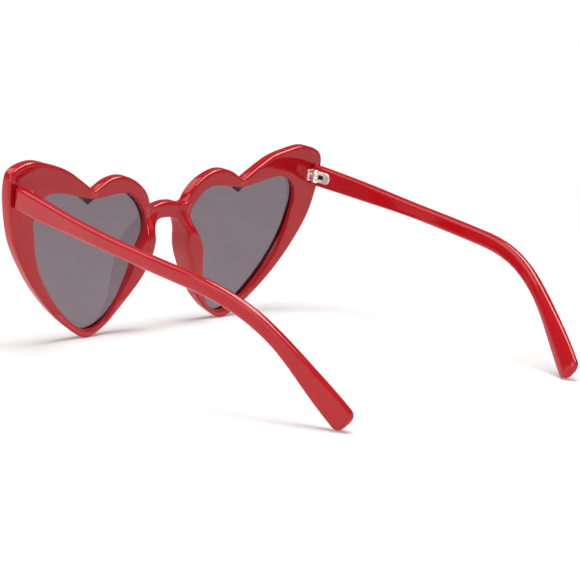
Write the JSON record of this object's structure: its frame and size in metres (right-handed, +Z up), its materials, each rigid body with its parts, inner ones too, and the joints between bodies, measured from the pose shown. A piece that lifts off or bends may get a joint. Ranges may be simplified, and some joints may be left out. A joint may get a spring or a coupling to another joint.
{
  "type": "heart shaped sunglasses",
  "caption": "Heart shaped sunglasses with a moulded front, tinted lenses in grooves, moulded nose pads and temples that fold in on metal screw hinges.",
  "frame": {"origin": "centre of the bounding box on the table plane, with the sunglasses open and standing on both heart tips and both temple tips", "axes": "+X towards the wearer's left, +Y back along the temples, +Z up; the lenses face -Y"},
  "size_m": [0.1438, 0.15, 0.0635],
  "materials": {
    "red_plastic": "polished moulded plastic, slightly translucent red",
    "tinted_lens": "polished grey mauve tinted plastic lens",
    "hinge_metal": "plated nickel silver, satin",
    "screw_metal": "plated steel, satin"
  },
  "bodies": {
    "front": {"front_frame": "red_plastic", "lens_left": "tinted_lens", "lens_right": "tinted_lens", "frame_hinge_left": "hinge_metal", "frame_hinge_right": "hinge_metal"},
    "temple_left_body": {"temple_left": "red_plastic", "temple_hinge_left": "hinge_metal", "hinge_screw_left": "screw_metal"},
    "temple_right_body": {"temple_right": "red_plastic", "temple_hinge_right": "hinge_metal", "hinge_screw_right": "screw_metal"}
  },
  "joints": [
    {"name": "temple_left_fold", "type": "hinge", "parent": "front", "child": "temple_left_body", "pos_m": [0.0654, -0.0578, 0.05162], "axis": [0, 0.1342, 0.991], "range_deg": [0, 85]},
    {"name": "temple_right_fold", "type": "hinge", "parent": "front", "child": "temple_right_body", "pos_m": [-0.0654, -0.0578, 0.05162], "axis": [0, -0.1342, -0.991], "range_deg": [0, 75]}
  ]
}
